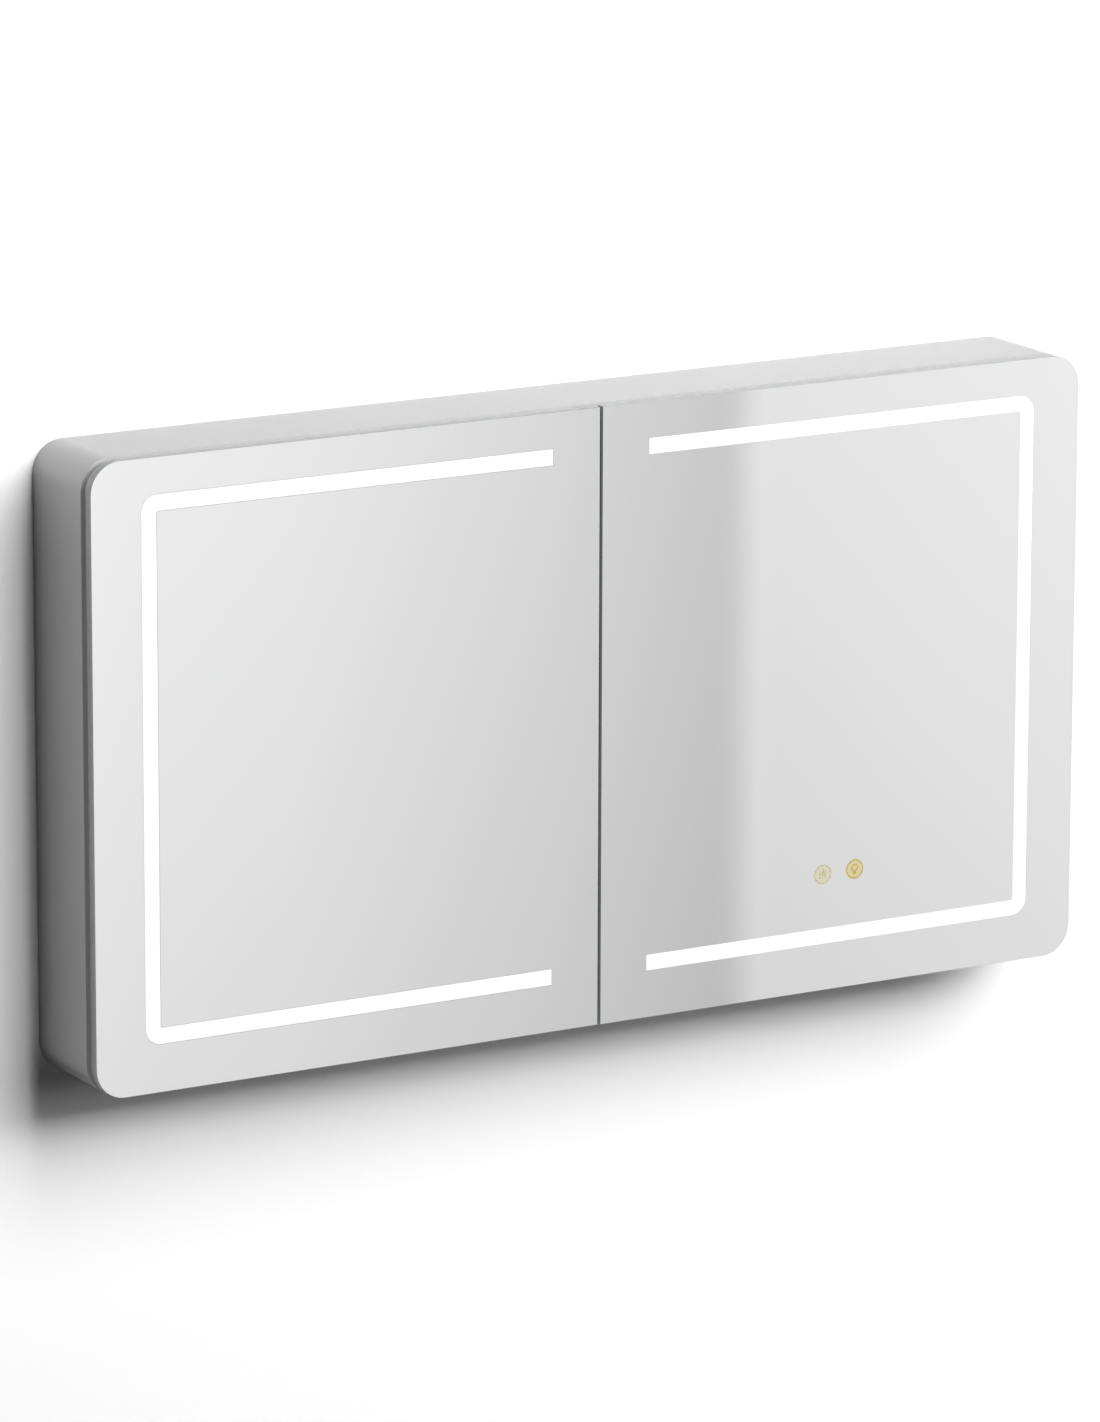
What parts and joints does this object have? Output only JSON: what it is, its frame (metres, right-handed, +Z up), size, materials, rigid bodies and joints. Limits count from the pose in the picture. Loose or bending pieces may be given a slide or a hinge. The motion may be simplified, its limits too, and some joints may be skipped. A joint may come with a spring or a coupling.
{
  "type": "mirror cabinet",
  "caption": "Wall-hung mirror cabinet: two hinged mirrored doors with C-shaped light bands and touch icons, on a shallow round-cornered metal body with glass shelves.",
  "frame": {"origin": "centre of the back face, on the wall", "axes": "+X to the right seen from the front, +Y into the wall, +Z up"},
  "size_m": [1.25, 0.137, 0.7],
  "materials": {
    "shell_metal": "satin silver, finely brushed",
    "inner_sheet": "satin, light silver",
    "frame_metal": "satin anodised",
    "zinc_steel": "zinc plated",
    "hinge_nickel": "nickel plated",
    "shelf_glass": "clear toughened glass with a green edge",
    "mirror_front": "silvered glass",
    "mirror_inside": "silvered glass",
    "frosted_light": "frosted and lit from behind",
    "white_plastic": "moulded",
    "dark_plastic": "moulded",
    "black_rubber": "matte",
    "clear_bumper": "soft clear grey",
    "lead_jacket": "white jacket",
    "led_strip": "phosphor dots on white board",
    "heater_film": "amber film with printed tracks",
    "sensor_board": "circuit board",
    "icon_bright": "gold, lit",
    "icon_dim": "pale gold, unlit"
  },
  "bodies": {
    "cabinet": {"cabinet_shell": "shell_metal", "back_panel": "inner_sheet", "back_rivets": "zinc_steel", "centre_divider": "inner_sheet", "service_cover": "inner_sheet", "service_brackets": "inner_sheet", "service_screws": "zinc_steel", "led_driver": "white_plastic", "terminal_box": "dark_plastic", "supply_grommet": "black_rubber", "hanger_plates": "zinc_steel", "shelf_rails": "zinc_steel", "shelf_pins": "zinc_steel", "left_upper_shelf": "shelf_glass", "left_lower_shelf": "shelf_glass", "right_upper_shelf": "shelf_glass", "right_lower_shelf": "shelf_glass", "left_upper_hinge_base": "hinge_nickel", "left_lower_hinge_base": "hinge_nickel", "right_upper_hinge_base": "hinge_nickel", "right_lower_hinge_base": "hinge_nickel", "hinge_base_nuts": "zinc_steel", "catch_magnets": "white_plastic", "door_bumpers": "clear_bumper", "left_door_lead": "lead_jacket", "right_door_lead": "lead_jacket"},
    "left_door": {"left_mirror_glass": "mirror_front", "left_light_band": "frosted_light", "left_door_frame": "frame_metal", "left_inner_mirror": "mirror_inside", "left_led_channel": "white_plastic", "left_led_tape": "led_strip", "left_demister_pad": "heater_film", "left_upper_hinge_leaf": "hinge_nickel", "left_lower_hinge_leaf": "hinge_nickel", "left_hinge_pins": "hinge_nickel", "left_hinge_screws": "zinc_steel", "left_striker_plate": "zinc_steel", "left_lead_gland": "black_rubber"},
    "right_door": {"right_mirror_glass": "mirror_front", "right_light_band": "frosted_light", "right_door_frame": "frame_metal", "right_inner_mirror": "mirror_inside", "right_led_channel": "white_plastic", "right_led_tape": "led_strip", "right_demister_pad": "heater_film", "right_upper_hinge_leaf": "hinge_nickel", "right_lower_hinge_leaf": "hinge_nickel", "right_hinge_pins": "hinge_nickel", "right_hinge_screws": "zinc_steel", "right_striker_plate": "zinc_steel", "right_lead_gland": "black_rubber", "light_icon": "icon_bright", "demister_icon": "icon_dim", "light_touch_sensor": "sensor_board", "demister_touch_sensor": "sensor_board"}
  },
  "joints": [
    {"name": "left_door_hinge", "type": "hinge", "parent": "cabinet", "child": "left_door", "pos_m": [-0.6175, -0.1235, 0], "axis": [0, 0, -1], "range_deg": [0, 95]},
    {"name": "right_door_hinge", "type": "hinge", "parent": "cabinet", "child": "right_door", "pos_m": [0.6175, -0.1235, 0], "axis": [0, 0, 1], "range_deg": [0, 95]}
  ]
}
